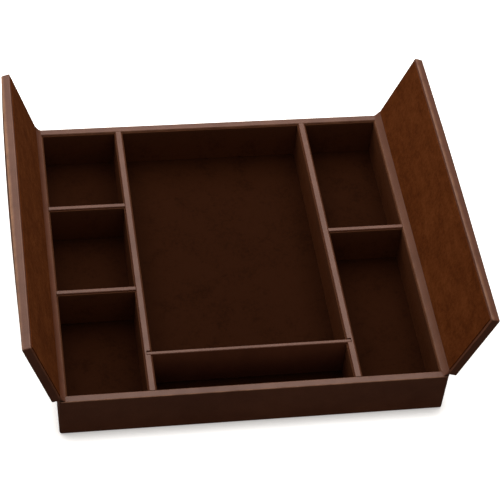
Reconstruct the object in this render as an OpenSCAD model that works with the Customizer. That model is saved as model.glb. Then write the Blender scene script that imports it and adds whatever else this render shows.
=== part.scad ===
// Desk organizer tray of leatherette-covered board, with a lift lid over each side column.
// Millimetres. The origin is under the middle of the tray, on the desk: +X right, +Y back, +Z up.
// The lids are drawn folded open, as they lie when they lean on their hinges.

/* [Tray] */
// Width over the two side walls
tray_w = 449; // [400:1:520]
// Depth over the front and back walls
tray_d = 435; // [410:1:500]
// Height of the rim above the desk
tray_h = 59.3; // [45:0.1:90]
// Thickness of the front and back walls with their covering
end_wall_t = 9.2; // [7:0.1:14]
// Thickness of the side walls with their covering
side_wall_t = 8; // [7:0.1:14]
// Radius of the four upright corners
corner_r = 3; // [1.5:0.5:6]
// Radius that the covering takes over every board edge
edge_r = 1.2; // [0.8:0.1:2]
// Thickness of the felt under the tray
felt_t = 1; // [0.6:0.1:3]
// How far the felt stops short of the outer faces
felt_inset = 5; // [2:0.5:12]
// Thickness of the base board
base_t = 2.8; // [2:0.1:6]

/* [Leatherette and linings] */
// Thickness of the leatherette
skin = 0.6; // [0.4:0.1:1]
// Thickness of the lining panels on the walls and dividers
lining_t = 1.4; // [0.8:0.1:3]
// How far the lining panels stop below the rim
lining_drop = 2.5; // [1:0.1:6]
// Thickness of the lining on the floor
floor_lining_t = 1; // [0.6:0.1:3]

/* [Dividers] */
// Thickness of the two long dividers with their covering
long_div_t = 7.4; // [6.8:0.1:10]
// Width of the centre bay between the long dividers
bay_w = 230.6; // [200:0.2:250]
// Thickness of the short cross dividers with their covering
cross_div_t = 5.6; // [4:0.1:8]
// How far the cross dividers stop below the rim
cross_drop = 0.4; // [0:0.1:3]
// Length of the left rear compartment
left_rear_len = 125; // [80:1:150]
// Length of the left middle compartment
left_middle_len = 130; // [80:1:150]
// Length of the right rear compartment
right_rear_len = 184.4; // [100:0.2:250]
// Length of the centre front bay, in front of the lift-out divider
front_bay_len = 51.8; // [30:0.2:90]
// Thickness of the lift-out divider with its covering
lift_div_t = 4.6; // [3:0.1:8]
// How far the lift-out divider stops below the rim
lift_div_drop = 0.8; // [0:0.1:4]
// Depth of the slots that hold the lift-out divider
slot_depth = 4.9; // [3:0.1:5]
// Play between the lift-out divider and each face of its slots
slot_play = 0.8; // [0.2:0.1:1.5]
// Play between the lift-out divider and the bottom of each slot
slot_end_play = 0.4; // [0.2:0.1:1]

/* [Lids] */
// Thickness of a lid with its covering
lid_t = 10.4; // [6:0.1:14]
// How far a closed lid lies on the long divider
lid_bearing = 1.2; // [0.6:0.1:2.2]
// How far a closed lid's hinge edge stays inside the side wall's face
lid_setback = 1; // [0.5:0.1:2]
// How far each end of a lid stops short of the front and back faces
lid_end_gap = 0.5; // [0:0.1:3]
// Gap between a closed lid's lining and the rim
lid_rest_gap = 0.3; // [0.2:0.1:1]
// Thickness of the lid lining
lid_lining_t = 1; // [0.8:0.1:2]
// Margin of covered board that shows around the lid lining on three sides
lid_margin = 3.2; // [2:0.1:8]
// The same margin along the hinge, which the hinge strip is glued to
hinge_margin = 4.8; // [4:0.1:6]
// Angle through which the left lid opens; its soft hinge holds it a little more upright
left_lid_open = 108.4; // [95:0.2:120]
// Angle through which the right lid opens
right_lid_open = 110.4; // [95:0.2:120]

/* [Hinges] */
// How far inside the side wall's face a lid's fold line lies
fold_in = 0.7; // [0.4:0.1:1]
// Height of a lid's fold line above the rim
fold_rise = 2.5; // [2.2:0.1:4]
// Thickness of the leatherette hinge strip
strip_t = 0.6; // [0.4:0.1:0.6]
// How far inside the side wall's face the hinge strip starts on the rim
strip_land = 6.6; // [5.5:0.1:6.7]
// Width over which the hinge strip is glued to the rim, and to the lid
strip_lap = 1.4; // [1:0.1:2]
// How far each end of a hinge strip stops short of the lid's ends
strip_end_gap = 1; // [0:0.5:5]

/* [Hidden] */
ARC_STEPS = 6;
CUT = 1;
GLUE = 0.02;

LEATHERETTE = "#3a1e14";
LINING = "#4a2715";
BOARD = "#a98a63";
FELT = "#1f1a17";

half_w = tray_w / 2;
half_d = tray_d / 2;
base_top = felt_t + base_t;
floor_z = base_top + floor_lining_t;
lining_top = tray_h - lining_drop;
cross_top = tray_h - cross_drop;

// Inner faces of the walls, and the faces of the long dividers
wall_x = half_w - side_wall_t;
wall_y = half_d - end_wall_t;
bay_x = bay_w / 2;
column_x = bay_x + long_div_t;

// Where the cross dividers and the lift-out divider stand, from their back faces
left_rear_y = wall_y - left_rear_len;
left_front_y = left_rear_y - cross_div_t - left_middle_len;
right_y = wall_y - right_rear_len;
lift_div_y = -wall_y + front_bay_len + lift_div_t;
slot_rear_y = lift_div_y + slot_play;
slot_front_y = lift_div_y - lift_div_t - slot_play;
lift_div_x = bay_x + slot_depth - slot_end_play;
lift_div_top = tray_h - lift_div_drop;

// A closed lid, and the line that it folds about
lid_tip_x = column_x - lid_bearing;
lid_edge_x = half_w - lid_setback;
lid_y = half_d - lid_end_gap;
lid_z = tray_h + lid_rest_gap + lid_lining_t;
fold_x = half_w - fold_in;
fold_z = tray_h + fold_rise;

BODY_NODES = [
    "base_felt", "base_board",
    "floor_lining_left", "floor_lining_centre", "floor_lining_right",
    "front_wall_board", "back_wall_board", "left_wall_board", "right_wall_board",
    "front_wall_wrap", "back_wall_wrap", "left_wall_wrap", "right_wall_wrap",
    "left_divider_board", "right_divider_board", "left_divider_wrap", "right_divider_wrap",
    "left_rear_cross_board", "left_front_cross_board", "right_cross_board",
    "left_rear_cross_wrap", "left_front_cross_wrap", "right_cross_wrap",
    "left_hinge_strip", "right_hinge_strip",
];
MOVING_NODES = [
    "lift_divider_board", "lift_divider_wrap",
    "left_lid_board", "left_lid_wrap", "left_lid_lining",
    "right_lid_board", "right_lid_wrap", "right_lid_lining",
];

// Each compartment: its name, then its left, right, front and back faces
CELLS = [
    ["left_rear", -wall_x, -column_x, left_rear_y, wall_y],
    ["left_middle", -wall_x, -column_x, left_front_y, left_rear_y - cross_div_t],
    ["left_front", -wall_x, -column_x, -wall_y, left_front_y - cross_div_t],
    ["right_rear", column_x, wall_x, right_y, wall_y],
    ["right_front", column_x, wall_x, -wall_y, right_y - cross_div_t],
];
// The two parts of the centre bay have lining on the long dividers and on one wall each
CENTRE_REAR = ["centre_rear", -bay_x, bay_x, slot_rear_y, wall_y];
CENTRE_FRONT = ["centre_front", -bay_x, bay_x, -wall_y, slot_front_y];

// Each lining panel: its name, then its left, right, front and back faces
function left_panel(c) = [str(c[0], "_lining_left"), c[1], c[1] + lining_t, c[3], c[4]];
function right_panel(c) = [str(c[0], "_lining_right"), c[2] - lining_t, c[2], c[3], c[4]];
function front_panel(c) =
    [str(c[0], "_lining_front"), c[1] + lining_t, c[2] - lining_t, c[3], c[3] + lining_t];
function back_panel(c) =
    [str(c[0], "_lining_back"), c[1] + lining_t, c[2] - lining_t, c[4] - lining_t, c[4]];

LININGS = concat(
    [for (c = CELLS) each [left_panel(c), right_panel(c), front_panel(c), back_panel(c)]],
    [for (c = [CENTRE_REAR, CENTRE_FRONT]) each [left_panel(c), right_panel(c)]],
    [back_panel(CENTRE_REAR), front_panel(CENTRE_FRONT)]
);

// Points along an arc, from one angle to another
function arc(centre, r, from, to) = [
    for (i = [0:ARC_STEPS])
        let (a = from + (to - from) * i / ARC_STEPS)
        centre + r * [cos(a), sin(a)]
];

// Section of a board edge that stands up, rounded along its top
function upright_section(t, z0, z1) = concat(
    [[0, z0]],
    arc([edge_r, z1 - edge_r], edge_r, 180, 90),
    arc([t - edge_r, z1 - edge_r], edge_r, 90, 0),
    [[t, z0]]
);

// Where a point of a closed right lid's section comes to when the lid opens by an angle
function opened(p, turn) = let (
    x = p[0] - fold_x,
    z = p[1] - fold_z
) [
    fold_x + x * cos(turn) + z * sin(turn),
    fold_z - x * sin(turn) + z * cos(turn)
];

module box_between(low, high) {
    translate(low)
        cube(high - low);
}

// A section drawn in across and up, run along X from the origin
module run_along_x(length, section) {
    rotate([90, 0, 90])
        linear_extrude(length)
            polygon(section);
}

// The same, run along Y
module run_along_y(length, section) {
    translate([0, length, 0])
        rotate([90, 0, 0])
            linear_extrude(length)
                polygon(section);
}

// An upright block with rounded corners, as wide and deep as the tray less an inset
module rounded_block(inset, z0, z1) {
    r = corner_r - inset;
    x = half_w - inset - r;
    y = half_d - inset - r;
    translate([0, 0, z0])
        linear_extrude(z1 - z0)
            polygon(concat(
                arc([x, y], r, 0, 90),
                arc([-x, y], r, 90, 180),
                arc([-x, -y], r, 180, 270),
                arc([x, -y], r, 270, 360)
            ));
}

// Mitred ground plan of the front wall
module front_wall_plan() {
    linear_extrude(tray_h)
        polygon([
            [-half_w, -half_d],
            [half_w, -half_d],
            [wall_x, -wall_y],
            [-wall_x, -wall_y],
        ]);
}

// Mitred ground plan of the left wall
module left_wall_plan() {
    linear_extrude(tray_h)
        polygon([
            [-half_w, -half_d],
            [-wall_x, -wall_y],
            [-wall_x, wall_y],
            [-half_w, half_d],
        ]);
}

// Board of the front wall, mitred at both ends
module front_board() {
    color(BOARD)
        intersection() {
            front_wall_plan();
            rounded_block(skin, felt_t + skin, tray_h - skin);
            box_between(
                [-half_w, -half_d + skin, felt_t + skin],
                [half_w, -wall_y - skin, tray_h - skin]
            );
        }
}

// Board of the left wall, mitred at both ends
module left_board() {
    color(BOARD)
        intersection() {
            left_wall_plan();
            rounded_block(skin, felt_t + skin, tray_h - skin);
            box_between(
                [-half_w + skin, -half_d, felt_t + skin],
                [-wall_x - skin, half_d, tray_h - skin]
            );
        }
}

// Leatherette that goes up the front wall, over its rim and down inside to the base board
module front_wrap() {
    color(LEATHERETTE)
        difference() {
            intersection() {
                front_wall_plan();
                rounded_block(0, felt_t, tray_h);
                translate([-half_w, -half_d, 0])
                    run_along_x(tray_w, upright_section(end_wall_t, felt_t, tray_h));
            }
            box_between(
                [-half_w, -half_d + skin, felt_t + skin],
                [half_w, -wall_y - skin, tray_h - skin]
            );
            box_between([-half_w, -wall_y - skin, 0], [half_w, -wall_y + CUT, base_top]);
        }
}

// Leatherette that goes up the left wall, over its rim and down inside to the base board
module left_wrap() {
    color(LEATHERETTE)
        difference() {
            intersection() {
                left_wall_plan();
                rounded_block(0, felt_t, tray_h);
                translate([-half_w, -half_d, 0])
                    run_along_y(tray_d, upright_section(side_wall_t, felt_t, tray_h));
            }
            box_between(
                [-half_w + skin, -half_d, felt_t + skin],
                [-wall_x - skin, half_d, tray_h - skin]
            );
            box_between([-wall_x - skin, -half_d, 0], [-wall_x + CUT, half_d, base_top]);
        }
}

// Base

module base_felt() {
    color(FELT)
        box_between(
            [-half_w + felt_inset, -half_d + felt_inset, 0],
            [half_w - felt_inset, half_d - felt_inset, felt_t]
        );
}

module base_board() {
    color(BOARD)
        box_between(
            [-wall_x - skin, -wall_y - skin, felt_t],
            [wall_x + skin, wall_y + skin, base_top]
        );
}

// Floor lining from one side of a bay or column to the other
module floor_lining(x0, x1) {
    color(LINING)
        box_between([x0, -wall_y, base_top], [x1, wall_y, floor_z]);
}

// Walls

module front_wall_board() {
    front_board();
}

module back_wall_board() {
    mirror([0, 1, 0])
        front_board();
}

module left_wall_board() {
    left_board();
}

module right_wall_board() {
    mirror([1, 0, 0])
        left_board();
}

module front_wall_wrap() {
    front_wrap();
}

module back_wall_wrap() {
    mirror([0, 1, 0])
        front_wrap();
}

module left_wall_wrap() {
    left_wrap();
}

module right_wall_wrap() {
    mirror([1, 0, 0])
        left_wrap();
}

// Long dividers

// The board of the right long divider, cut back at the slot for the leatherette that lines it
module long_board() {
    color(BOARD)
        difference() {
            box_between(
                [bay_x + skin, -wall_y, base_top],
                [column_x - skin, wall_y, tray_h - skin]
            );
            box_between(
                [bay_x - CUT, slot_front_y - skin, floor_z],
                [bay_x + slot_depth + skin, slot_rear_y + skin, tray_h]
            );
        }
}

// Its leatherette, which also lines the slot
module long_wrap() {
    color(LEATHERETTE)
        difference() {
            translate([bay_x, -wall_y, 0])
                run_along_y(2 * wall_y, upright_section(long_div_t, base_top, tray_h));
            box_between(
                [bay_x - CUT, slot_front_y, floor_z],
                [bay_x + slot_depth, slot_rear_y, tray_h + CUT]
            );
            long_board();
        }
}

module left_divider_board() {
    mirror([1, 0, 0])
        long_board();
}

module right_divider_board() {
    long_board();
}

module left_divider_wrap() {
    mirror([1, 0, 0])
        long_wrap();
}

module right_divider_wrap() {
    long_wrap();
}

// Cross dividers

// Board of a cross divider between two faces, from its back face forwards
module cross_board(x0, x1, back_y) {
    color(BOARD)
        box_between(
            [x0, back_y - cross_div_t + skin, floor_z],
            [x1, back_y - skin, cross_top - skin]
        );
}

// Leatherette over the same divider
module cross_wrap(x0, x1, back_y) {
    color(LEATHERETTE)
        difference() {
            translate([x0, back_y - cross_div_t, 0])
                run_along_x(x1 - x0, upright_section(cross_div_t, floor_z, cross_top));
            cross_board(x0, x1, back_y);
        }
}

// Lift-out divider

module lift_divider_board() {
    color(BOARD)
        box_between(
            [-lift_div_x + skin, lift_div_y - lift_div_t + skin, floor_z + skin],
            [lift_div_x - skin, lift_div_y - skin, lift_div_top - skin]
        );
}

module lift_divider_wrap() {
    color(LEATHERETTE)
        difference() {
            translate([-lift_div_x, lift_div_y - lift_div_t, 0])
                run_along_x(2 * lift_div_x, upright_section(lift_div_t, floor_z, lift_div_top));
            lift_divider_board();
        }
}

// Linings

module lining_panel(panel) {
    color(LINING)
        box_between([panel[1], panel[3], floor_z], [panel[2], panel[4], lining_top]);
}

// Lids

// Folds a piece of the closed right lid open about its fold line
module folded_open(turn) {
    translate([fold_x, 0, fold_z])
        rotate([0, turn, 0])
            translate([-fold_x, 0, -fold_z])
                children();
}

module closed_lid_board() {
    box_between(
        [lid_tip_x + skin, -lid_y + skin, lid_z + skin],
        [lid_edge_x - skin, lid_y - skin, lid_z + lid_t - skin]
    );
}

// Outline of a lid's section with its four edges rounded
function lid_section() = concat(
    arc([lid_tip_x + edge_r, lid_z + edge_r], edge_r, 270, 180),
    arc([lid_tip_x + edge_r, lid_z + lid_t - edge_r], edge_r, 180, 90),
    arc([lid_edge_x - edge_r, lid_z + lid_t - edge_r], edge_r, 90, 0),
    arc([lid_edge_x - edge_r, lid_z + edge_r], edge_r, 0, -90)
);

module lid_board(turn) {
    color(BOARD)
        folded_open(turn)
            closed_lid_board();
}

module lid_wrap(turn) {
    color(LEATHERETTE)
        folded_open(turn)
            difference() {
                translate([0, -lid_y, 0])
                    run_along_y(2 * lid_y, lid_section());
                closed_lid_board();
            }
}

module lid_lining(turn) {
    color(LINING)
        folded_open(turn)
            box_between(
                [lid_tip_x + lid_margin, -lid_y + lid_margin, lid_z - lid_lining_t],
                [lid_edge_x - hinge_margin, lid_y - lid_margin, lid_z]
            );
}

// Strip that slopes up from the rim to the lid's margin, glued along both of its long edges
module hinge_strip(turn) {
    margin_x = lid_edge_x - hinge_margin + GLUE;
    margin_z = lid_z - GLUE;
    foot = [half_w - strip_land, tray_h + strip_t];
    head = opened([margin_x, margin_z - strip_t], turn);
    way = (head - foot) / norm(head - foot);
    behind = strip_t * [way[1], -way[0]];
    length = 2 * (lid_y - strip_end_gap);
    color(LEATHERETTE)
        translate([0, -length / 2, 0])
            run_along_y(length, [
                [foot[0], tray_h],
                foot,
                head,
                opened([margin_x, margin_z], turn),
                opened([margin_x + strip_lap, margin_z], turn),
                head - strip_lap * way + behind,
                foot + strip_lap * way + behind,
                [foot[0] + strip_lap, tray_h],
            ]);
}

module left_lid_board() {
    mirror([1, 0, 0])
        lid_board(left_lid_open);
}

module right_lid_board() {
    lid_board(right_lid_open);
}

module left_lid_wrap() {
    mirror([1, 0, 0])
        lid_wrap(left_lid_open);
}

module right_lid_wrap() {
    lid_wrap(right_lid_open);
}

module left_lid_lining() {
    mirror([1, 0, 0])
        lid_lining(left_lid_open);
}

module right_lid_lining() {
    lid_lining(right_lid_open);
}

module left_hinge_strip() {
    mirror([1, 0, 0])
        hinge_strip(left_lid_open);
}

module right_hinge_strip() {
    hinge_strip(right_lid_open);
}

base_felt();
base_board();
floor_lining(-wall_x, -column_x);  // floor_lining_left
floor_lining(-bay_x, bay_x);  // floor_lining_centre
floor_lining(column_x, wall_x);  // floor_lining_right
front_wall_board();
back_wall_board();
left_wall_board();
right_wall_board();
front_wall_wrap();
back_wall_wrap();
left_wall_wrap();
right_wall_wrap();
left_divider_board();
right_divider_board();
left_divider_wrap();
right_divider_wrap();
cross_board(-wall_x, -column_x, left_rear_y);  // left_rear_cross_board
cross_board(-wall_x, -column_x, left_front_y);  // left_front_cross_board
cross_board(column_x, wall_x, right_y);  // right_cross_board
cross_wrap(-wall_x, -column_x, left_rear_y);  // left_rear_cross_wrap
cross_wrap(-wall_x, -column_x, left_front_y);  // left_front_cross_wrap
cross_wrap(column_x, wall_x, right_y);  // right_cross_wrap
left_hinge_strip();
right_hinge_strip();
lift_divider_board();
lift_divider_wrap();
left_lid_board();
left_lid_wrap();
left_lid_lining();
right_lid_board();
right_lid_wrap();
right_lid_lining();
for (panel = LININGS)
    lining_panel(panel);
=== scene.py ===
import math

import bmesh
import bpy
from mathutils import Euler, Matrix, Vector, noise


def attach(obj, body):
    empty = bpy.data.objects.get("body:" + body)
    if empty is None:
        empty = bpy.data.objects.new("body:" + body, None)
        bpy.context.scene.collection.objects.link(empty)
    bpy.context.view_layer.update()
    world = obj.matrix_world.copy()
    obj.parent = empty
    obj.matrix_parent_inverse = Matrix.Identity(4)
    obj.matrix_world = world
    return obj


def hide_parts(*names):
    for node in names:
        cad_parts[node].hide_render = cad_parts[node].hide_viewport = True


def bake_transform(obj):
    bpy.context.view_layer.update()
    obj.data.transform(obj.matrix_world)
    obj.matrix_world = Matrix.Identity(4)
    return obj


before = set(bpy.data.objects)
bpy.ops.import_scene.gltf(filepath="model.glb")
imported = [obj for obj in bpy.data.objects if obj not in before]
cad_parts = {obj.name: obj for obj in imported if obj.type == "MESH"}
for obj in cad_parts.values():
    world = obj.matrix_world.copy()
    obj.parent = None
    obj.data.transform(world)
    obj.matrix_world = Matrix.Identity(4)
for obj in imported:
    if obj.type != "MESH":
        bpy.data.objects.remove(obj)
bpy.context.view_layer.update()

MM = 0.001

# Camera, from the vanishing lines of the tray in the photograph: its place in metres, its turn in
# radians, and its lens and sensor in millimetres
CAMERA_PLACE = (-0.31041, -1.45600, 1.70296)
CAMERA_TURN = (0.732473, -0.075451, -0.141227)
CAMERA_LENS = 131.524
SENSOR = 36.0

# Light: the world's fill, then each softbox's name, place, aim and size in metres, power and tint
FILL_TINT, FILL_STRENGTH = (1, 0.92, 0.84, 1), 0.25
SOFTBOXES = (
    ("key", (-0.04, 0.70, 1.40), (0, 0.05, 0), (2.2, 1.9), 36, (1, 0.945, 0.885)),
    ("left", (-1.75, 0.95, 0.50), (0, 0.05, 0.10), (1.3, 0.9), 6.8, (1, 0.87, 0.70)),
    ("front", (0.10, -1.90, 0.95), (0, 0, 0.03), (1.4, 0.9), 3, (1, 0.84, 0.66)),
)

# Floor, in metres. It looks SHADE_REACH far towards SHADE_FROM, and the more open that way is, from the
# first to the second share of SHADE_OPEN, the more it glows, as SHADE_GLOW says; that dimmer glow near the
# tray is a painted shadow. Between the two distances of FLOOR_FADE it turns plain white.
FLOOR_SIZE, FLOOR_DROP = 30, 0.0003
FLOOR_COLOUR, FLOOR_BOUNCE = (0.9, 0.9, 0.9, 1), (0.06, 0.06, 0.06, 1)
SHADE_FROM, SHADE_REACH, SHADE_SAMPLES = (0.0, 0.62, 0.78), 0.016, 24
SHADE_OPEN, SHADE_GLOW = (0.12, 0.95), (0.26, 0.80)
FLOOR_FADE = (0.45, 1.0)

# Sizes of the tray and its lids, in millimetres, as in the part's source
HALF_W, HALF_D, TOP = 224.5, 217.5, 59.3
END_WALL, SIDE_WALL = 9.2, 8.0
BOTTOM, BASE_TOP, SKIN = 1.0, 3.8, 0.6
CORNER, EDGE, FOOT_EDGE = 3.0, 1.2, 0.4
FOLD_X, FOLD_Z = 223.8, 61.8
OPEN = {-1: math.radians(108.4), 1: math.radians(110.4)}
# The right lid when closed: its tip, its hinge edge, half its length, its inner face and its thickness
LID_TIP, LID_EDGE, LID_END, LID_LOW, LID_THICK = 121.5, 223.5, 217.0, 60.6, 10.4
LID_MARGIN, HINGE_MARGIN, LID_LINING = 3.2, 4.8, 1.0

# Forms of the coverings, in millimetres. INNER_EDGE is how far a wall's inner edge is rounded downwards.
INNER_EDGE = 2.2
EDGE_STEPS = 6
WALL_STEPS = 10
WALL_CELL, LID_CELL = 6.5, 5.0
WALL_UNEVEN, LID_UNEVEN, PANEL_UNEVEN = 0.14, 0.13, 0.10
LID_CORNER, PANEL_EDGE, PANEL_CORNER = 1.5, 0.42, 0.9
# Heights down the inner face of a wall, each with its share of the paler wear colour; the 0.8 just under the
# rim is painted light on the covering above the lining
INNER_FACE = ((56.6, 0.8), (56.0, 0), (40.0, 0), (22.0, 0), (BASE_TOP, 0))
# At a corner the mitre line eases sideways by MITRE_EASE, over MITRE_REACH of depth, and dips at its
# first angles
MITRE_ANGLES = (45, 42, 36, 27, 14, 0)
MITRE_EASE, MITRE_REACH = 2.4, 2
MITRE_DIPS = (0.24, 0.07)
# The outer face of a lid swells by LID_CROWN, which it reaches LID_SHOULDER from its long edges
LID_CROWN, LID_SHOULDER = 5.0, 6.5
CROWN_LEAN, CROWN_FULLNESS = 1.3, 0.55
# Painted highlights of the lids, given as wear: on the tip edge of the left one, and on a line along the tip
# face of the right one
LEFT_HIGHLIGHT, LEFT_HIGHLIGHT_REACH = 1.5, 3.2
RIGHT_HIGHLIGHT, RIGHT_HIGHLIGHT_REACH, RIGHT_HIGHLIGHT_PLACE = 0.8, 2.1, 1.9
TIP_FACE = 1.0
# A hinge strip: half its length, its foot on the rim, its thickness, and how far it sags on each side
STRIP_END, STRIP_FOOT, STRIP_THICK = 216.4, 217.9, 0.58
STRIP_SAG = {-1: 0.75, 1: 0.3}
STRIP_STEPS, STRIP_ROWS = 18, 132
# Its rounded toe and its underside on the rim, as places from its foot, and its height over the rim there
STRIP_TOE = ((-0.42, -0.02), (-0.40, 0.22), (-0.28, 0.43))
STRIP_SOLE, STRIP_HEEL = (0.1, 0.6, 1.1), 1.35
STRIP_LIFT = 0.05

# Base colours, as linear values
LEATHERETTE_LIGHT = (0.142, 0.050, 0.026, 1)
LEATHERETTE_DARK = (0.104, 0.034, 0.017, 1)
# Paler colour of rubbed edges, also used for painted highlights and painted light
LEATHERETTE_WORN_AND_LIT = (0.30, 0.150, 0.085, 1)
# Wall linings: lighter than the floor linings of the same cloth, as painted light thrown back by the things
# in the compartments
LINING_LIGHT = (0.070, 0.0212, 0.0079, 1)
LINING_DARK = (0.048, 0.0142, 0.0053, 1)
# Colour towards which the wall linings turn paler near their top, as painted light, and in a narrow band
# just below it
LINING_TOP = (0.078, 0.030, 0.015, 1)
# Floor linings: a darker copy of the same lining, painted shade under the things in the compartments
SHADED_FLOOR_LINING_LIGHT = (0.0238, 0.0067, 0.0021, 1)
SHADED_FLOOR_LINING_DARK = (0.0163, 0.0045, 0.0014, 1)
LID_LINING_LIGHT = (0.127, 0.0372, 0.0099, 1)
LID_LINING_MID = (0.0915, 0.0240, 0.0058, 1)
LID_LINING_DARK = (0.0645, 0.0161, 0.0039, 1)
BOARD_LIGHT, BOARD_DARK = (0.42, 0.29, 0.17, 1), (0.30, 0.19, 0.10, 1)
FELT_LIGHT, FELT_DARK = (0.022, 0.018, 0.015, 1), (0.006, 0.005, 0.004, 1)
SHEEN_TINT = (0.75, 0.35, 0.18, 1)

# Heights in metres: where the wall linings end, and how far below that they are paler, as painted light, and
# paler still in a narrow band
LINING_HEIGHT = 0.0568
PALER_FROM, PALER_TO, PALER_SHARE = 0.028, 0.004, 0.42
TOP_BAND_FROM, TOP_BAND_TO, TOP_BAND_SHARE = 0.0040, 0.0018, 0.52

# Sizes of the textures, as features per metre; the naps are stretched along the tray's axes
BROAD, PATCHES, WAVES = 9, 55, 38
PEBBLES, FINE_GRAIN = 1150, 2600
MOTTLE, SPECKLE = 210, 900
LINING_STREAK, LINING_BLOTCH, LINING_SHEEN = (40, 40, 40), 30, 0.01
LID_STREAK, LID_BLOTCH, LID_SHEEN = (95, 22, 95), 34, 0.015
BOARD_LAYERS = (90, 90, 900)
FELT_FIBRES = 700


# Materials

def start_material(name):
    mat = bpy.data.materials.new(name)
    mat.use_nodes = True
    tree = mat.node_tree
    tree.nodes.clear()
    out = tree.nodes.new("ShaderNodeOutputMaterial")
    shader = tree.nodes.new("ShaderNodeBsdfPrincipled")
    tree.links.new(shader.outputs["BSDF"], out.inputs["Surface"])
    return mat, tree, shader


def place_on(tree, rest_place=False):
    """Where on the object a point lies, in metres; a piece that bends keeps the place it has at rest."""
    if rest_place:
        node = tree.nodes.new("ShaderNodeAttribute")
        node.attribute_name = "rest_place"
        return node.outputs["Vector"]
    return tree.nodes.new("ShaderNodeTexCoord").outputs["Object"]


def stretched(tree, place, scale):
    node = tree.nodes.new("ShaderNodeMapping")
    node.inputs["Scale"].default_value = scale
    tree.links.new(place, node.inputs["Vector"])
    return node.outputs["Vector"]


def cloud(tree, place, scale, detail=3.0, roughness=0.55, distortion=0.0):
    node = tree.nodes.new("ShaderNodeTexNoise")
    node.inputs["Scale"].default_value = scale
    node.inputs["Detail"].default_value = detail
    node.inputs["Roughness"].default_value = roughness
    node.inputs["Distortion"].default_value = distortion
    tree.links.new(place, node.inputs["Vector"])
    return node.outputs["Fac"]


def pebbles(tree, place, scale):
    node = tree.nodes.new("ShaderNodeTexVoronoi")
    node.inputs["Scale"].default_value = scale
    tree.links.new(place, node.inputs["Vector"])
    return node.outputs["Distance"]


def mapped(tree, value, from_low, from_high, to_low, to_high):
    node = tree.nodes.new("ShaderNodeMapRange")
    node.inputs["From Min"].default_value = from_low
    node.inputs["From Max"].default_value = from_high
    node.inputs["To Min"].default_value = to_low
    node.inputs["To Max"].default_value = to_high
    tree.links.new(value, node.inputs["Value"])
    return node.outputs["Result"]


def maths(tree, operation, a, b):
    node = tree.nodes.new("ShaderNodeMath")
    node.operation = operation
    for socket, value in zip(node.inputs, (a, b)):
        if isinstance(value, (int, float)):
            socket.default_value = value
        else:
            tree.links.new(value, socket)
    return node.outputs[0]


def weighted(tree, *parts):
    """Sum of sockets, each times its share."""
    total = None
    for value, share in parts:
        part = maths(tree, "MULTIPLY", value, share)
        total = part if total is None else maths(tree, "ADD", total, part)
    return total


def ramp(tree, value, stops):
    node = tree.nodes.new("ShaderNodeValToRGB")
    elements = node.color_ramp.elements
    while len(elements) < len(stops):
        elements.new(0.5)
    for element, (position, colour) in zip(elements, stops):
        element.position = position
        element.color = colour
    tree.links.new(value, node.inputs["Fac"])
    return node.outputs["Color"]


def mixed(tree, share, a, b, kind="MIX"):
    node = tree.nodes.new("ShaderNodeMix")
    node.data_type = "RGBA"
    node.blend_type = kind
    sockets = [s for s in node.inputs if s.type == "RGBA"]
    for socket, value in ((node.inputs[0], share), (sockets[0], a), (sockets[1], b)):
        if isinstance(value, (int, float, tuple)):
            socket.default_value = value
        else:
            tree.links.new(value, socket)
    return next(s for s in node.outputs if s.type == "RGBA")


def bumped(tree, height, strength, distance, under=None):
    node = tree.nodes.new("ShaderNodeBump")
    node.inputs["Strength"].default_value = strength
    node.inputs["Distance"].default_value = distance
    tree.links.new(height, node.inputs["Height"])
    if under is not None:
        tree.links.new(under, node.inputs["Normal"])
    return node.outputs["Normal"]


def leatherette(name, rest_place=False):
    """Brown leatherette: fine pebbled grain, a soft sheen, slightly uneven colour, and a paler colour for
    rubbed edges that also paints highlights and light where the mesh asks.
    """
    mat, tree, shader = start_material(name)
    place = place_on(tree, rest_place)
    broad = cloud(tree, place, BROAD, 2.0)
    patches = cloud(tree, place, PATCHES, 4.0, 0.6)
    grain = pebbles(tree, place, PEBBLES)
    fine = cloud(tree, place, FINE_GRAIN, 2.0)
    tone = weighted(tree, (broad, 0.55), (patches, 0.45))
    colour = ramp(tree, tone, [(0.36, LEATHERETTE_DARK), (0.64, LEATHERETTE_LIGHT)])
    pits = tree.nodes.new("ShaderNodeCombineColor")
    depth = mapped(tree, grain, 0.25, 0.75, 1.0, 0.82)
    for socket in pits.inputs[:3]:
        tree.links.new(depth, socket)
    colour = mixed(tree, 1.0, colour, pits.outputs["Color"], "MULTIPLY")
    # The mesh's wear attribute gives the share of the paler colour: real wear on edges, and painted
    # highlights and painted light on the lid tips and the walls' inner rims
    wear_and_light = tree.nodes.new("ShaderNodeAttribute")
    wear_and_light.attribute_name = "wear_and_light"
    lighter_share = maths(tree, "MULTIPLY", wear_and_light.outputs["Fac"], mapped(tree, patches, 0.35, 0.65, 0.25, 0.9))
    colour = mixed(tree, lighter_share, colour, LEATHERETTE_WORN_AND_LIT)
    tree.links.new(colour, shader.inputs["Base Color"])
    tree.links.new(mapped(tree, tone, 0.35, 0.65, 0.47, 0.39), shader.inputs["Roughness"])
    shader.inputs["Specular IOR Level"].default_value = 0.40
    normal = bumped(tree, weighted(tree, (grain, 0.8), (fine, 0.35)), 0.45, 0.00022)
    normal = bumped(tree, cloud(tree, place, WAVES, 2.0), 0.2, 0.0010, normal)
    tree.links.new(normal, shader.inputs["Normal"])
    return mat


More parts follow.
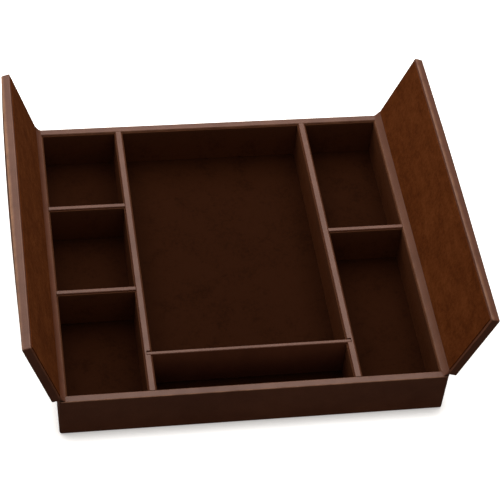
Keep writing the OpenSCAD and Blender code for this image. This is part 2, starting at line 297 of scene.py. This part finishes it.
def napped(name, colours, streak, blotch, sheen, top=None):
    """Soft lining with a brushed nap: faint streaks and blotches under a fine mottle. Panels that end at
    the height top are paler towards it, which is painted light, and paler still in a narrow band just below
    it."""
    light, mid, dark = colours
    mat, tree, shader = start_material(name)
    place = place_on(tree)
    brushed = cloud(tree, stretched(tree, place, streak), 1.0, 5.0, 0.62, 0.4)
    blotches = cloud(tree, place, blotch, 5.0, 0.6, 0.8)
    mottle = cloud(tree, place, MOTTLE, 4.0, 0.65, 0.3)
    speckle = cloud(tree, place, SPECKLE, 3.0, 0.7)
    tone = weighted(tree, (brushed, 0.22), (blotches, 0.24), (mottle, 0.30), (speckle, 0.24))
    colour = ramp(tree, tone, [(0.41, dark), (0.50, mid), (0.60, light)])
    if top:
        split = tree.nodes.new("ShaderNodeSeparateXYZ")
        tree.links.new(place, split.inputs[0])
        height = split.outputs["Z"]
        # Painted light: paler towards the top, where more light reaches into a compartment
        paler = mapped(tree, height, top - PALER_FROM, top - PALER_TO, 0.0, PALER_SHARE)
        lighter_share = mapped(tree, height, top - TOP_BAND_FROM, top - TOP_BAND_TO, 0.0, TOP_BAND_SHARE)
        colour = mixed(tree, maths(tree, "ADD", paler, lighter_share), colour, LINING_TOP)
    tree.links.new(colour, shader.inputs["Base Color"])
    tree.links.new(mapped(tree, tone, 0.35, 0.65, 0.86, 0.72), shader.inputs["Roughness"])
    shader.inputs["Specular IOR Level"].default_value = 0.02
    shader.inputs["Sheen Weight"].default_value = sheen
    shader.inputs["Sheen Roughness"].default_value = 0.45
    shader.inputs["Sheen Tint"].default_value = SHEEN_TINT
    normal = bumped(tree, speckle, 0.5, 0.0003)
    normal = bumped(tree, blotches, 0.2, 0.0008, normal)
    tree.links.new(normal, shader.inputs["Normal"])
    return mat


def fibreboard(name):
    """Raw fibreboard in thin layers."""
    mat, tree, shader = start_material(name)
    place = place_on(tree)
    tone = cloud(tree, stretched(tree, place, BOARD_LAYERS), 1.0, 4.0, 0.65)
    colour = ramp(tree, tone, [(0.35, BOARD_DARK), (0.65, BOARD_LIGHT)])
    tree.links.new(colour, shader.inputs["Base Color"])
    shader.inputs["Roughness"].default_value = 0.85
    tree.links.new(bumped(tree, tone, 0.4, 0.0004), shader.inputs["Normal"])
    return mat


def felt(name):
    """Black felt with a tangle of fibres."""
    mat, tree, shader = start_material(name)
    place = place_on(tree)
    fibres = cloud(tree, place, FELT_FIBRES, 6.0, 0.75, 1.2)
    colour = ramp(tree, fibres, [(0.35, FELT_DARK), (0.65, FELT_LIGHT)])
    tree.links.new(colour, shader.inputs["Base Color"])
    shader.inputs["Roughness"].default_value = 0.95
    shader.inputs["Sheen Weight"].default_value = 0.4
    tree.links.new(bumped(tree, fibres, 0.8, 0.0005), shader.inputs["Normal"])
    return mat


FINISHES = {
    "leatherette": leatherette("leatherette_finish"),
    "lining": napped(
        "lining_finish", (LINING_LIGHT, LINING_LIGHT, LINING_DARK),
        LINING_STREAK, LINING_BLOTCH, LINING_SHEEN, LINING_HEIGHT,
    ),
    # Darker copy of the lining for the floors: painted shade
    "floor_lining": napped(
        "floor_lining_painted_shade", (SHADED_FLOOR_LINING_LIGHT, SHADED_FLOOR_LINING_LIGHT, SHADED_FLOOR_LINING_DARK),
        LINING_STREAK, LINING_BLOTCH, LINING_SHEEN,
    ),
    "lid_lining": napped(
        "lid_lining_finish", (LID_LINING_LIGHT, LID_LINING_MID, LID_LINING_DARK),
        LID_STREAK, LID_BLOTCH, LID_SHEEN,
    ),
    "board": fibreboard("board_finish"),
    "felt": felt("felt_finish"),
}
STRIP_FINISH = leatherette("hinge_strip_finish", rest_place=True)


# CAD nodes: each keeps its shape, and gets its finish and softly broken edges

# How far apart an imported mesh's split corners may lie, in metres
SPLIT_GAP = 0.000002
# Width in millimetres by which each kind's edges are broken, and from which angle in degrees
BREAK = {"leatherette": 0.35, "lining": 0.3, "lid_lining": 0.35, "board": 0.2, "felt": 0.2}
BREAK_ANGLE, BREAK_STEPS = 32, 3


def join_group():
    """Joins the split corners of an imported mesh and shades it smooth."""
    group = bpy.data.node_groups.new("joined_corners", "GeometryNodeTree")
    group.interface.new_socket("Geometry", in_out="INPUT", socket_type="NodeSocketGeometry")
    group.interface.new_socket("Geometry", in_out="OUTPUT", socket_type="NodeSocketGeometry")
    start = group.nodes.new("NodeGroupInput")
    end = group.nodes.new("NodeGroupOutput")
    merge = group.nodes.new("GeometryNodeMergeByDistance")
    merge.inputs["Distance"].default_value = SPLIT_GAP
    drop = group.nodes.new("GeometryNodeRemoveAttribute")
    drop.inputs["Name"].default_value = "custom_normal"
    smooth = group.nodes.new("GeometryNodeSetShadeSmooth")
    group.links.new(start.outputs[0], merge.inputs["Geometry"])
    group.links.new(merge.outputs[0], drop.inputs["Geometry"])
    group.links.new(drop.outputs[0], smooth.inputs["Geometry"])
    group.links.new(smooth.outputs[0], end.inputs[0])
    return group


def finish_cad_nodes():
    """Gives every CAD node its finish; the floor linings have a darker one than the walls' linings, as
    painted shade under the things that lie in the compartments.
    """
    joined = join_group()
    for name, cad_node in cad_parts.items():
        slot = cad_node.material_slots[0]
        kind = slot.material.name
        slot.material = FINISHES["floor_lining" if name.startswith("floor_lining") else kind]
        cad_node.modifiers.new("join", "NODES").node_group = joined
        bevel = cad_node.modifiers.new("break", "BEVEL")
        bevel.width = BREAK[kind] * MM
        bevel.segments = BREAK_STEPS
        bevel.limit_method = "ANGLE"
        bevel.angle_limit = math.radians(BREAK_ANGLE)
        cad_node.modifiers.new("shade", "WEIGHTED_NORMAL").keep_sharp = True


# Mesh building. Points are in millimetres until a piece is finished.

# Points nearer than the first are one point, and edges shorter than the second go
SAME_POINT, SLIVER = 0.0005, 0.0001
# Steps of a grid past a rounded edge
PAST_EDGE = (0, 0.5, 1.3, 2.3, 3.5, 5.0)


def ripple(point, seed):
    """Small unevenness of glued leatherette, from -1 to 1."""
    p = Vector(point)
    broad = noise.noise(p * 0.021 + Vector((seed, 3.1, 7.7)))
    small = noise.noise(p * 0.085 + Vector((5.3, seed, 1.9)))
    return 0.7 * broad + 0.3 * small


class Builder:
    """Collects points and faces, joins what meets, and makes the piece."""

    def __init__(self):
        self.bm = bmesh.new()
        # Share of the paler colour at each point: wear, and painted highlights and painted light
        self.wear_and_light = self.bm.verts.layers.float.new("wear_and_light")
        self.loose = self.bm.verts.layers.float.new("loose")

    def add(self, point, wear_and_light=0.0, loose=0.0):
        vert = self.bm.verts.new(point)
        vert[self.wear_and_light] = wear_and_light
        vert[self.loose] = loose
        return vert

    def quad(self, a, b, c, d):
        self.bm.faces.new((a, b, c, d))

    def grid(self, rows):
        for row, following in zip(rows, rows[1:]):
            for i in range(len(row) - 1):
                self.quad(row[i], row[i + 1], following[i + 1], following[i])

    def close(self):
        bmesh.ops.remove_doubles(self.bm, verts=self.bm.verts[:], dist=SAME_POINT)
        bmesh.ops.dissolve_degenerate(self.bm, edges=self.bm.edges[:], dist=SLIVER)
        bmesh.ops.recalc_face_normals(self.bm, faces=self.bm.faces[:])

    def unsettle(self, amount, seed):
        """Moves the free surface in and out a little, along its normal."""
        self.bm.normal_update()
        moves = [(v, v.normal * (amount * v[self.loose] * ripple(v.co, seed))) for v in self.bm.verts]
        for vert, move in moves:
            vert.co += move

    def finish(self, name, finish, body, node, slot, moved=None):
        """Makes the piece that replaces a node and hides that node, on its body, or on none."""
        for vert in self.bm.verts:
            place = moved(vert.co) if moved else vert.co
            vert.co = Vector(place) * MM
        if moved and moved.flips:
            bmesh.ops.reverse_faces(self.bm, faces=self.bm.faces[:])
        mesh = bpy.data.meshes.new(name)
        self.bm.to_mesh(mesh)
        self.bm.free()
        mesh.attributes.remove(mesh.attributes["loose"])
        for polygon in mesh.polygons:
            polygon.use_smooth = True
        mesh.materials.append(finish)
        piece = bpy.data.objects.new(name, mesh)
        bpy.context.scene.collection.objects.link(piece)
        piece.modifiers.new("shade", "WEIGHTED_NORMAL").keep_sharp = True
        if body:
            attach(piece, body)
        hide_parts(node)
        return piece


class Opened:
    """Where a point of a closed lid comes to when the lid lies open, on one side of the tray."""

    def __init__(self, side):
        self.side = side
        self.flips = side < 0

    def __call__(self, point):
        x, z = self.section(point[0], point[2])
        return self.side * x, point[1], z

    def section(self, x, z):
        """The same for a point of the right lid's section, without the mirroring."""
        sin, cos = math.sin(OPEN[self.side]), math.cos(OPEN[self.side])
        x, z = x - FOLD_X, z - FOLD_Z
        return FOLD_X + x * cos + z * sin, FOLD_Z - x * sin + z * cos


def grid_lines(low, high, edge, cell):
    """Places of grid lines from one side to the other, close together along both edges."""
    near = [share * edge for share in (0, 0.2, 0.4, 0.6, 0.8)]
    near += [edge + past for past in PAST_EDGE]
    near = [n for n in near if n < (high - low) / 2 - 0.2]
    inner_low, inner_high = low + near[-1], high - near[-1]
    count = max(1, math.ceil((inner_high - inner_low) / cell))
    inner = [inner_low + (inner_high - inner_low) * i / count for i in range(1, count)]
    return [low + n for n in near] + inner + [high - n for n in reversed(near)]


def squared_to_round(a, b):
    """How far a point on a square is drawn in to lie on the circle inside it."""
    return max(a, b) / math.hypot(a, b)


def lid_crown(to_side, along):
    """Height by which a lid's outer face swells, from the distance to its nearest long edge and the
    place along it, from 0 at the front to 1 at the back."""
    shoulder = 1 - (1 - min(1.0, to_side / LID_SHOULDER)) ** 2
    return LID_CROWN * shoulder * math.sin(math.pi * along ** CROWN_LEAN) ** CROWN_FULLNESS


def lid_wear_and_highlight(side):
    """Where a lid's covering carries a painted highlight in the paler wear colour: its tip edge, on the
    outer face of the left lid, stronger towards the back, and along the inner face of the right one. The
    rest keeps a little of the wear of any edge."""
    def rubbed_and_lit(q, half, wear_and_light):
        from_tip, from_inner = q[0] + half[0], q[2] + half[2]
        along = (q[1] + half[1]) / (2 * half[1])
        # Left lid: painted highlight over the outer tip edge, stronger towards the back
        if side < 0 and from_tip < half[0] and q[2] > 0:
            spread = LEFT_HIGHLIGHT * (1 - (half[2] - q[2]) / LEFT_HIGHLIGHT_REACH) if from_tip < TIP_FACE else 0.0
            return max(wear_and_light, spread) * (0.6 + 0.7 * along)
        # Right lid: painted highlight as a line along the tip face, near its inner edge
        if side > 0 and from_tip < TIP_FACE and q[2] < 0:
            line = RIGHT_HIGHLIGHT * (1 - abs(from_inner - RIGHT_HIGHLIGHT_PLACE) / RIGHT_HIGHLIGHT_REACH)
            return max(0.3 * wear_and_light, line)
        return 0.2 * wear_and_light
    return rubbed_and_lit


def slab(builder, low, high, edge, corner, cell, loose_side, crown=None, rubbed_and_lit=None):
    """A flat block with rounded edges and rounded corners, as a closed grid. Its face on the loose side,
    1 above or -1 below, isn't quite even. crown gives its upper face's swell, and the last argument its wear
    along with any painted highlights."""
    lines = [grid_lines(low[i], high[i], edge, cell) for i in range(3)]
    centre = [(low[i] + high[i]) / 2 for i in range(3)]
    half = [(high[i] - low[i]) / 2 for i in range(3)]

    def shaped(point):
        q = [point[i] - centre[i] for i in range(3)]
        size, sign = [abs(v) for v in q], [math.copysign(1, v) for v in q]
        over = [max(0.0, size[i] - (half[i] - edge)) for i in range(3)]
        side = max(over[0], over[1])
        wear_and_light = 0.0
        if side > 0 and over[2] > 0:
            wear_and_light = 2 * side * over[2] / (side * side + over[2] * over[2])
            pull = squared_to_round(side, over[2])
            for i in range(3):
                if over[i] > 0:
                    size[i] = half[i] - edge + over[i] * pull
        past = [size[i] - (half[i] - corner) for i in range(2)]
        if past[0] > 0 and past[1] > 0:
            pull = squared_to_round(*past)
            for i in range(2):
                size[i] = half[i] - corner + past[i] * pull
        free = 1.0 if loose_side * q[2] > 0 or over[2] < 0.9 * edge else 0.0
        if rubbed_and_lit:
            wear_and_light = max(0.0, rubbed_and_lit(q, half, wear_and_light))
        if crown and q[2] > 0:
            along = min(1.0, max(0.0, (q[1] + half[1]) / (2 * half[1])))
            size[2] += crown(half[0] - abs(q[0]), along) * q[2] / half[2]
        return builder.add([centre[i] + sign[i] * size[i] for i in range(3)], wear_and_light, free)

    for axis in range(3):
        u, v = [i for i in range(3) if i != axis]
        for place in (low[axis], high[axis]):
            rows = []
            for a in lines[u]:
                row = []
                for b in lines[v]:
                    point = [0.0, 0.0, 0.0]
                    point[axis], point[u], point[v] = place, a, b
                    row.append(shaped(point))
                rows.append(row)
            builder.grid(rows)


def cavity(builder, low, high):
    """The space that a board fills inside its covering; its faces look inwards."""
    x0, y0, z0 = low
    x1, y1, z1 = high
    corners = [builder.add((x, y, z)) for x in (x0, x1) for y in (y0, y1) for z in (z0, z1)]
    for face in ((0, 2, 3, 1), (4, 5, 7, 6), (0, 1, 5, 4), (2, 6, 7, 3), (0, 4, 6, 2), (1, 3, 7, 5)):
        builder.quad(*(corners[i] for i in face))


def make_lid(side_name, side):
    """A lid's covering and its lining, built closed and then opened."""
    opened = Opened(side)
    body = f"{side_name}_lid"
    wrap = Builder()
    slab(
        wrap,
        (LID_TIP, -LID_END, LID_LOW),
        (LID_EDGE, LID_END, LID_LOW + LID_THICK),
        EDGE, LID_CORNER, LID_CELL, 1, lid_crown, lid_wear_and_highlight(side),
    )
    wrap.close()
    wrap.unsettle(LID_UNEVEN, 11.0 + side)
    cavity(
        wrap,
        (LID_TIP + SKIN, -LID_END + SKIN, LID_LOW + SKIN),
        (LID_EDGE - SKIN, LID_END - SKIN, LID_LOW + LID_THICK - SKIN),
    )
    wrap.finish(f"{body}_cover", FINISHES["leatherette"], body, f"{body}_wrap", "leatherette", opened)
    panel = Builder()
    slab(
        panel,
        (LID_TIP + LID_MARGIN, -LID_END + LID_MARGIN, LID_LOW - LID_LINING),
        (LID_EDGE - HINGE_MARGIN, LID_END - LID_MARGIN, LID_LOW),
        PANEL_EDGE, PANEL_CORNER, LID_CELL, -1,
    )
    panel.close()
    panel.unsettle(PANEL_UNEVEN, 4.0 + side)
    panel.finish(f"{body}_panel", FINISHES["lid_lining"], body, f"{body}_lining", "lid_lining", opened)


def wall_profile(thick):
    """Outside of a wall's covering, as depth from the outer face, height, wear and looseness; down the inner
    edge and face the wear value is painted light. It starts under the wall, and goes up the outer face, over
    the rim and down the inner face."""
    low, high = BOTTOM + FOOT_EDGE, TOP - EDGE
    path = [(depth, BOTTOM, 0, 0) for depth in (thick - SKIN, thick / 2, FOOT_EDGE)]
    path.append((0.3 * FOOT_EDGE, BOTTOM + 0.3 * FOOT_EDGE, 0.5, 0))
    for i in range(WALL_STEPS):
        path.append((0, low + (high - low) * i / WALL_STEPS, 0, min(1.0, i / 2)))
    turns = [math.pi / 2 * i / EDGE_STEPS for i in range(EDGE_STEPS + 1)]
    for turn in turns:
        depth, height = EDGE - EDGE * math.cos(turn), high + EDGE * math.sin(turn)
        path.append((depth, height, math.sin(2 * turn), 0.4))
    path += [(EDGE + (thick - 2 * EDGE) * i / 4, TOP, 0, 0.12) for i in range(1, 4)]
    # Paler down the inner edge and into the band below it: painted light
    for i, turn in enumerate(turns):
        depth, height = thick - EDGE + EDGE * math.sin(turn), TOP - INNER_EDGE + INNER_EDGE * math.cos(turn)
        path.append((depth, height, min(0.8, 0.2 * i), 0))
    path += [(thick, height, wear_and_light, 0) for height, wear_and_light in INNER_FACE]
    return path


def make_wall(name, along, across, thick, other_thick, turned):
    """Covering of one wall. It runs between the middles of two corners and is mitred with its neighbours."""
    builder = Builder()
    ratio = (other_thick - CORNER) / (thick - CORNER)
    turns = [math.radians(angle) for angle in MITRE_ANGLES]
    dips = dict(zip(turns, MITRE_DIPS))

    def at_corner(depth, turn):
        """Places along and across the wall, round the corner and then along the mitre."""
        if depth < CORNER:
            radius = CORNER - depth
            return along - CORNER + radius * math.sin(turn), across - CORNER + radius * math.cos(turn)
        eased = min(1.0, (depth - CORNER) / MITRE_REACH) * MITRE_EASE
        eased *= 1 - math.sin(turn) / math.sin(turns[0])
        return along - CORNER - (depth - CORNER) * ratio - eased, across - depth

    count = math.ceil(2 * along / WALL_CELL)
    stations = [(-1, turn, 0) for turn in turns]
    stations += [(0, 0, i / count) for i in range(1, count)]
    stations += [(1, turn, 0) for turn in reversed(turns)]

    def placed(depth, height, station, dip):
        end, turn, share = station
        a, b = at_corner(depth, turn)
        a = a * end if end else a * (2 * share - 1)
        if dip and end:
            height -= dips.get(turn, 0.0)
        return turned(a, b, height)

    path = wall_profile(thick)
    outer, inner = [], []
    for station in stations:
        out_row, in_row = [], []
        for depth, height, wear_and_light, loose in path:
            out_row.append(builder.add(placed(depth, height, station, height > TOP - 0.6), wear_and_light, loose))
            in_depth = min(max(depth, SKIN), thick - SKIN)
            in_height = min(max(height, BOTTOM + SKIN), TOP - SKIN)
            in_row.append(builder.add(placed(in_depth, in_height, station, False)))
        outer.append(out_row)
        inner.append(in_row)
    builder.grid(outer)
    builder.grid(inner)
    builder.grid([[row[0] for row in outer], [row[0] for row in inner]])
    builder.grid([[row[-1] for row in outer], [row[-1] for row in inner]])
    for end in (0, -1):
        builder.grid([outer[end], inner[end]])
    builder.close()
    builder.unsettle(WALL_UNEVEN, len(name))
    builder.finish(f"{name}_cover", FINISHES["leatherette"], "tray", f"{name}_wrap", "leatherette")


def strip_section(side):
    """Section of a hinge strip: its visible face from the rim up to the lid's lining, and its back."""
    opened = Opened(side)
    foot = Vector((STRIP_FOOT, TOP + SKIN))
    head = Vector(opened.section(LID_EDGE - HINGE_MARGIN + 0.1, LID_LOW - SKIN + 0.06))
    way = (head - foot).normalized()
    behind = Vector((way.y, -way.x))
    front = [Vector((STRIP_FOOT + x, TOP + z)) for x, z in STRIP_TOE]
    back = [Vector((STRIP_FOOT + x, TOP)) for x in STRIP_SOLE]
    for i in range(STRIP_STEPS + 1):
        share = i / STRIP_STEPS
        sag = STRIP_SAG[side] * 4 * share * (1 - share) * behind
        front.append(foot.lerp(head, share) + sag)
        back.append(front[-1] + STRIP_THICK * behind)
    back[len(STRIP_SOLE)] = Vector((STRIP_FOOT + STRIP_HEEL, TOP + STRIP_LIFT))
    return front, back, behind


def make_strip(side_name, side):
    """Hinge strip. At its two ends the back comes down to the rim, which closes it."""
    builder = Builder()
    section_front, section_back, behind = strip_section(side)
    bend = len(STRIP_TOE)
    front, back = [], []
    for i in range(STRIP_ROWS + 1):
        y = -STRIP_END + 2 * STRIP_END * i / STRIP_ROWS
        pucker = 0.16 * noise.noise(Vector((side * 9.0, y * 0.05, 2.0)))
        pucker += 0.07 * noise.noise(Vector((4.0, y * 0.27, side)))
        front_row, back_row = [], []
        for j, (ahead, rear) in enumerate(zip(section_front, section_back)):
            share = min(1.0, max(0.0, (j - bend - 1) / (STRIP_STEPS - 2)))
            shift = pucker * math.sin(math.pi * share) * behind
            if i in (0, STRIP_ROWS):
                rear = Vector((rear.x, TOP + STRIP_LIFT))
            wear_and_light = 0.2 if j == bend else 0.0
            front_row.append(builder.add((side * (ahead.x + shift.x), y, ahead.y + shift.y), wear_and_light))
            back_row.append(builder.add((side * (rear.x + shift.x), y, rear.y + shift.y)))
        front.append(front_row)
        back.append(back_row)
    builder.grid(front)
    builder.grid(back)
    builder.grid([[row[0] for row in front], [row[0] for row in back]])
    builder.grid([[row[-1] for row in front], [row[-1] for row in back]])
    for end in (0, -1):
        builder.grid([front[end], back[end]])
    builder.close()
    piece = builder.finish(
        f"{side_name}_hinge_fold", STRIP_FINISH, None, f"{side_name}_hinge_strip", "leatherette"
    )
    kept = piece.data.attributes.new("rest_place", "FLOAT_VECTOR", "POINT")
    kept.data.foreach_set("vector", [c for v in piece.data.vertices for c in v.co])
    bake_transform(piece)


def make_covers():
    make_wall("front_wall", HALF_W, HALF_D, END_WALL, SIDE_WALL, lambda a, b, z: (a, -b, z))
    make_wall("back_wall", HALF_W, HALF_D, END_WALL, SIDE_WALL, lambda a, b, z: (a, b, z))
    make_wall("left_wall", HALF_D, HALF_W, SIDE_WALL, END_WALL, lambda a, b, z: (-b, a, z))
    make_wall("right_wall", HALF_D, HALF_W, SIDE_WALL, END_WALL, lambda a, b, z: (b, a, z))
    for side_name, side in (("left", -1), ("right", 1)):
        make_lid(side_name, side)
        make_strip(side_name, side)


# Floor, light and camera

def make_floor():
    """White floor that keeps the tray's shadow, darkest where the tray stands close behind it; its glow dims
    there as a painted shadow, over the real shadow in its diffuse part.
    """
    bpy.ops.mesh.primitive_plane_add(size=FLOOR_SIZE, location=(0, 0, -FLOOR_DROP))
    floor = bpy.context.object
    floor.name = "floor"
    mat = bpy.data.materials.new("floor_finish")
    mat.use_nodes = True
    tree = mat.node_tree
    tree.nodes.clear()
    out = tree.nodes.new("ShaderNodeOutputMaterial")
    path = tree.nodes.new("ShaderNodeLightPath")
    towards = tree.nodes.new("ShaderNodeCombineXYZ")
    for socket, value in zip(towards.inputs, SHADE_FROM):
        socket.default_value = value
    open_sky = tree.nodes.new("ShaderNodeAmbientOcclusion")
    open_sky.samples = SHADE_SAMPLES
    open_sky.inputs["Distance"].default_value = SHADE_REACH
    tree.links.new(towards.outputs[0], open_sky.inputs["Normal"])
    # Glow that dims where the tray is near: painted shadow
    lift = tree.nodes.new("ShaderNodeEmission")
    glow = mapped(tree, open_sky.outputs["AO"], *SHADE_OPEN, *SHADE_GLOW)
    tree.links.new(glow, lift.inputs["Strength"])
    shaded = tree.nodes.new("ShaderNodeBsdfDiffuse")
    shaded.inputs["Color"].default_value = FLOOR_COLOUR
    near = tree.nodes.new("ShaderNodeAddShader")
    tree.links.new(shaded.outputs[0], near.inputs[0])
    tree.links.new(lift.outputs[0], near.inputs[1])
    white = tree.nodes.new("ShaderNodeEmission")
    white.inputs["Strength"].default_value = 1.0
    reach = tree.nodes.new("ShaderNodeVectorMath")
    reach.operation = "LENGTH"
    tree.links.new(place_on(tree), reach.inputs[0])
    fade = tree.nodes.new("ShaderNodeMixShader")
    tree.links.new(mapped(tree, reach.outputs["Value"], *FLOOR_FADE, 0.0, 1.0), fade.inputs["Fac"])
    tree.links.new(near.outputs[0], fade.inputs[1])
    tree.links.new(white.outputs[0], fade.inputs[2])
    bounce = tree.nodes.new("ShaderNodeBsdfDiffuse")
    bounce.inputs["Color"].default_value = FLOOR_BOUNCE
    either = tree.nodes.new("ShaderNodeMixShader")
    tree.links.new(path.outputs["Is Camera Ray"], either.inputs["Fac"])
    tree.links.new(bounce.outputs[0], either.inputs[1])
    tree.links.new(fade.outputs[0], either.inputs[2])
    tree.links.new(either.outputs[0], out.inputs["Surface"])
    floor.data.materials.append(mat)


def make_world():
    """Soft fill light, seen as plain white by the camera."""
    world = bpy.data.worlds.new("studio")
    bpy.context.scene.world = world
    world.use_nodes = True
    tree = world.node_tree
    tree.nodes.clear()
    out = tree.nodes.new("ShaderNodeOutputWorld")
    path = tree.nodes.new("ShaderNodeLightPath")
    fill = tree.nodes.new("ShaderNodeBackground")
    fill.inputs["Color"].default_value = FILL_TINT
    fill.inputs["Strength"].default_value = FILL_STRENGTH
    backdrop = tree.nodes.new("ShaderNodeBackground")
    backdrop.inputs["Strength"].default_value = 1.0
    either = tree.nodes.new("ShaderNodeMixShader")
    tree.links.new(path.outputs["Is Camera Ray"], either.inputs["Fac"])
    tree.links.new(fill.outputs[0], either.inputs[1])
    tree.links.new(backdrop.outputs[0], either.inputs[2])
    tree.links.new(either.outputs[0], out.inputs["Surface"])


def add_softbox(name, place, aim, size, power, tint):
    light = bpy.data.lights.new(name, "AREA")
    light.shape = "RECTANGLE"
    light.size, light.size_y = size
    light.energy = power
    light.color = tint
    lamp = bpy.data.objects.new(name, light)
    lamp.location = place
    lamp.rotation_euler = (Vector(aim) - Vector(place)).to_track_quat("-Z", "Y").to_euler()
    bpy.context.scene.collection.objects.link(lamp)


def make_camera():
    camera = bpy.data.cameras.new("camera")
    camera.sensor_width = SENSOR
    camera.lens = CAMERA_LENS
    holder = bpy.data.objects.new("camera", camera)
    holder.location = CAMERA_PLACE
    holder.rotation_euler = Euler(CAMERA_TURN, "XYZ")
    bpy.context.scene.collection.objects.link(holder)
    bpy.context.scene.camera = holder


finish_cad_nodes()
make_covers()
make_floor()
make_world()
for softbox in SOFTBOXES:
    add_softbox(*softbox)
make_camera()
bpy.context.scene.view_settings.view_transform = "Standard"
